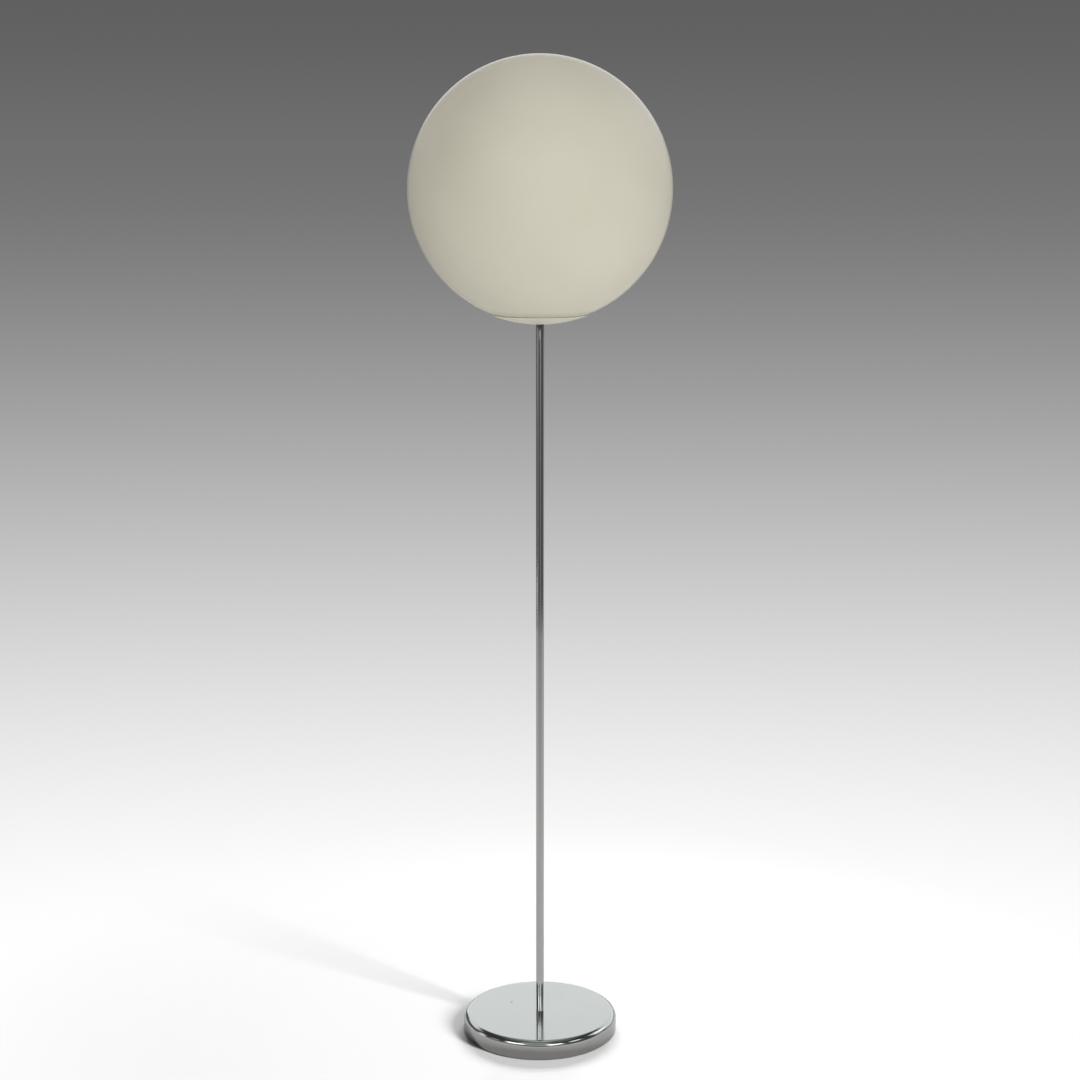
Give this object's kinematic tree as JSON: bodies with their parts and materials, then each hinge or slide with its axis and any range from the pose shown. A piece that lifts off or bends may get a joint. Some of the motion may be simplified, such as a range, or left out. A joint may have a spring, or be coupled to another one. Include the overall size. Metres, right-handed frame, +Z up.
{
  "type": "floor lamp",
  "caption": "Floor lamp: a closed opal globe in a shallow dish on a slim straight tube and a low round weighted base. The globe lifts off and the bulb unscrews.",
  "frame": {"origin": "middle of the pad's underside, on the floor, on the pole's axis", "axes": "+Z up along the pole; +Y towards the back, where the lead leaves by its bushing; +X to the right seen from the front"},
  "size_m": [0.4064, 0.4062, 1.5702],
  "materials": {
    "pad": "matte moulded pad",
    "zinc_steel": "zinc-plated steel",
    "iron": "rough casting",
    "chrome": "polished chrome, lightly aged",
    "black_plastic": "satin black moulding",
    "cream_paint": "satin cream paint",
    "opal_plastic": "satin opal plastic, aged to cream",
    "brass": "plain brass, slightly dull",
    "card_liner": "brown fibre",
    "frosted_glass": "frosted white glass",
    "nickel": "thin rolled metal",
    "solder": "solder",
    "black_glass": "glossy black",
    "clear_glass": "clear glass",
    "filament_wire": "fine wire"
  },
  "bodies": {
    "stand": {"base_pad": "pad", "base_plate": "zinc_steel", "base_plate_screws": "zinc_steel", "base_weight": "iron", "base_shell": "chrome", "cord_bushing": "black_plastic", "lower_nipple": "zinc_steel", "base_flat_washer": "zinc_steel", "base_lock_washer": "zinc_steel", "base_locknut": "zinc_steel", "pole_tube": "chrome", "dish": "cream_paint", "locating_ring": "cream_paint", "upper_nipple": "zinc_steel", "dish_washer": "zinc_steel", "dish_lock_washer": "zinc_steel", "dish_locknut": "zinc_steel", "socket_cap": "brass", "socket_set_screw": "brass", "socket_body": "black_plastic", "terminal_screws": "brass", "screw_shell": "brass", "centre_contact": "brass", "socket_liner": "card_liner", "socket_shell": "brass"},
    "globe": {"globe": "opal_plastic"},
    "bulb_carrier": {"bulb_contact": "solder"},
    "bulb": {"bulb_glass": "frosted_glass", "bulb_cap": "nickel", "bulb_insulator": "black_glass", "bulb_stem": "clear_glass", "bulb_filament": "filament_wire"}
  },
  "joints": [
    {"name": "globe_lift", "type": "slide", "parent": "stand", "child": "globe", "axis": [0, 0, 1], "range_m": [0, 0.25]},
    {"name": "bulb_rise", "type": "slide", "parent": "stand", "child": "bulb_carrier", "axis": [0, 0, 1], "range_m": [0, 0.0165]},
    {"name": "bulb_turn", "type": "hinge", "parent": "bulb_carrier", "child": "bulb", "pos_m": [0, 0, 1.2793], "axis": [0, 0, 1], "range_deg": [0, 1620]}
  ],
  "couplings": [
    {"joint": "bulb_rise", "follows": "bulb_turn", "m_per_rad": 0.00057751}
  ]
}
